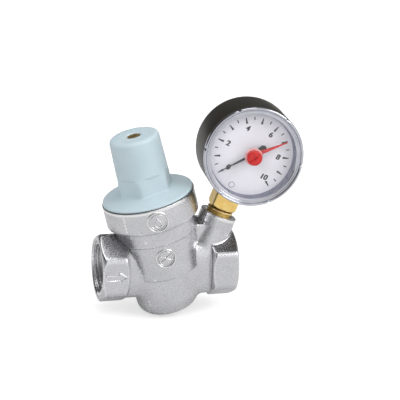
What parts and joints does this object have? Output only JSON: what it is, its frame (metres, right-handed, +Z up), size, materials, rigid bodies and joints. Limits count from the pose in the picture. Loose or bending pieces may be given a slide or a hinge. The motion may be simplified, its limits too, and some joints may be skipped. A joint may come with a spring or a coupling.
{
  "type": "pressure reducing valve",
  "caption": "Pressure reducing valve with an inclined diaphragm cartridge under a moulded spring cover, threaded female ports and a dial pressure gauge on an inclined boss.",
  "frame": {"origin": "centre of the inlet port's face, on the pipe axis", "axes": "+X along the pipe axis in the direction of flow, +Z up, -Y to the front, which the dial faces"},
  "size_m": [0.0983, 0.0464, 0.1076],
  "materials": {
    "plated_casting": "satin, fine cast grain",
    "cover_nylon": "matt moulded",
    "brass": "machined, satin",
    "stainless": "brushed",
    "spring_steel": "drawn wire",
    "seal_rubber": "matt",
    "cartridge_plastic": "matt moulded",
    "ring_plastic": "matt moulded",
    "case_black": "satin black",
    "bezel_chrome": "polished",
    "window_clear": "polished",
    "dial_white": "matt white, printed",
    "pointer_black": "satin",
    "signal_red": "gloss",
    "collar_pale": "translucent",
    "bronze": "plain"
  },
  "bodies": {
    "valve": {"valve_body": "plated_casting", "cartridge_body": "cartridge_plastic", "cartridge_upper_o_ring": "seal_rubber", "cartridge_lower_o_ring": "seal_rubber", "stem_o_ring": "seal_rubber", "strainer": "stainless", "diaphragm": "seal_rubber", "slip_ring": "ring_plastic", "cover": "cover_nylon", "main_spring": "spring_steel", "gauge_socket": "brass", "gauge_case": "case_black", "case_screws": "stainless", "gauge_bezel": "bezel_chrome", "window_ring": "bezel_chrome", "gauge_window": "window_clear", "gauge_dial": "dial_white", "bourdon_tube": "bronze", "rear_movement_plate": "brass", "front_movement_plate": "brass", "movement_pillars": "brass", "hairspring": "bronze", "pointer_stop_pin": "stainless", "knob_ring": "collar_pale"},
    "plug_assembly": {"valve_stem": "stainless", "valve_plug": "brass", "plug_seal": "seal_rubber", "plug_nut": "brass", "lower_plate": "brass", "spring_plate": "stainless", "lock_nut": "stainless"},
    "adjusting_screw_body": {"adjusting_screw": "brass"},
    "spring_nut_body": {"spring_nut": "brass"},
    "pointer_body": {"gauge_pointer": "pointer_black", "pointer_arbor": "brass"},
    "sector_body": {"sector_gear": "brass"},
    "link_body": {"movement_link": "brass", "tube_tip": "brass"},
    "set_pointer_body": {"set_pointer": "signal_red", "set_knob": "signal_red"}
  },
  "joints": [
    {"name": "plug_lift", "type": "slide", "parent": "valve", "child": "plug_assembly", "axis": [-0.2453, 0, 0.9694], "range_m": [0, 0.0024], "stiffness_N_per_m": 2000, "springref_m": -0.005, "deforming": ["diaphragm", "main_spring"]},
    {"name": "adjusting_screw_turn", "type": "hinge", "parent": "valve", "child": "adjusting_screw_body", "pos_m": [0.01908, 0, 0.05817], "axis": [-0.2453, 0, 0.9694], "range_deg": [-1085, 1085]},
    {"name": "spring_nut_travel", "type": "slide", "parent": "valve", "child": "spring_nut_body", "axis": [-0.2453, 0, 0.9694], "range_m": [-0.003, 0.003], "deforming": ["main_spring"]},
    {"name": "pointer_turn", "type": "hinge", "parent": "valve", "child": "pointer_body", "pos_m": [0.07233, -0.01349, 0.05886], "axis": [0.0909, 0.9952, -0.0354], "range_deg": [-0.5, 270.5], "deforming": ["hairspring"]},
    {"name": "sector_turn", "type": "hinge", "parent": "valve", "child": "sector_body", "pos_m": [0.06724, -0.01349, 0.04582], "axis": [0.0909, 0.9952, -0.0354], "range_deg": [-39.07, 0.5]},
    {"name": "link_pull", "type": "slide", "parent": "valve", "child": "link_body", "axis": [0.9272, -0.0976, -0.3615], "range_m": [0, 0.00231], "stiffness_N_per_m": 100, "springref_m": -0.0005, "deforming": ["bourdon_tube"]},
    {"name": "set_pointer_turn", "type": "hinge", "parent": "valve", "child": "set_pointer_body", "pos_m": [0.07187, -0.01846, 0.05904], "axis": [0.0909, 0.9952, -0.0354], "continuous": true}
  ],
  "couplings": [
    {"joint": "adjusting_screw_turn", "follows": "spring_nut_travel", "rad_per_m": 6283.2},
    {"joint": "sector_turn", "follows": "link_pull", "rad_per_m": -291.18},
    {"joint": "pointer_turn", "follows": "link_pull", "rad_per_m": 2038.3}
  ]
}
